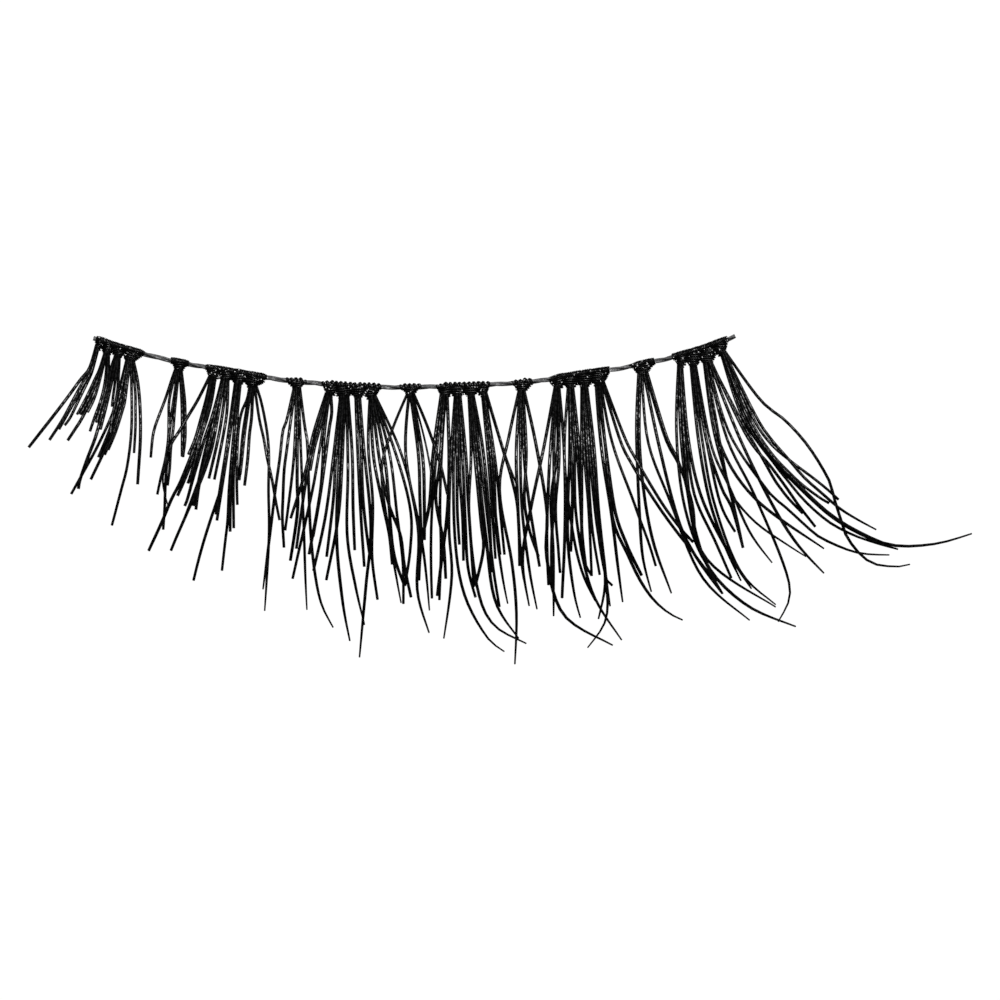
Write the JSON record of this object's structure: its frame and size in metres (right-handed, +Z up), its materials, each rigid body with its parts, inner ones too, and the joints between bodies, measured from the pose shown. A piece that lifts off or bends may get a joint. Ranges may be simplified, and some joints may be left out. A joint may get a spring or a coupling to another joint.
{
  "type": "false eyelash strip",
  "caption": "Curved strip of black false lashes: knotted tufts of fine curled fibres, short at the inner end and long and swept at the outer end, on a thin grey thread band.",
  "frame": {"origin": "middle of the strip's outline seen from above, on the plane that it rests on", "axes": "+X along the band towards the long swept outer end, +Y from the lash tips to the band, +Z up from the resting plane; the strip lies with its curl downwards, so +Z is the outer side of the curl"},
  "size_m": [0.0471, 0.0165, 0.0036],
  "materials": {
    "band_thread": "translucent grey twisted thread, slightly glossy with dried glue",
    "lash_fibre": "black synthetic fibre with a soft grey sheen on the bend"
  },
  "bodies": {
    "root": {"band": "band_thread", "tuft_01": "lash_fibre", "tuft_02": "lash_fibre", "tuft_03": "lash_fibre", "tuft_04": "lash_fibre", "tuft_05": "lash_fibre", "tuft_06": "lash_fibre", "tuft_07": "lash_fibre", "tuft_08": "lash_fibre", "tuft_09": "lash_fibre", "tuft_10": "lash_fibre", "tuft_11": "lash_fibre", "tuft_12": "lash_fibre", "tuft_13": "lash_fibre", "tuft_14": "lash_fibre", "tuft_15": "lash_fibre", "tuft_16": "lash_fibre", "tuft_17": "lash_fibre", "tuft_18": "lash_fibre", "tuft_19": "lash_fibre", "tuft_20": "lash_fibre", "tuft_21": "lash_fibre", "tuft_22": "lash_fibre", "tuft_23": "lash_fibre", "tuft_24": "lash_fibre", "tuft_25": "lash_fibre", "tuft_26": "lash_fibre", "tuft_27": "lash_fibre", "tuft_28": "lash_fibre", "tuft_29": "lash_fibre"}
  },
  "joints": []
}
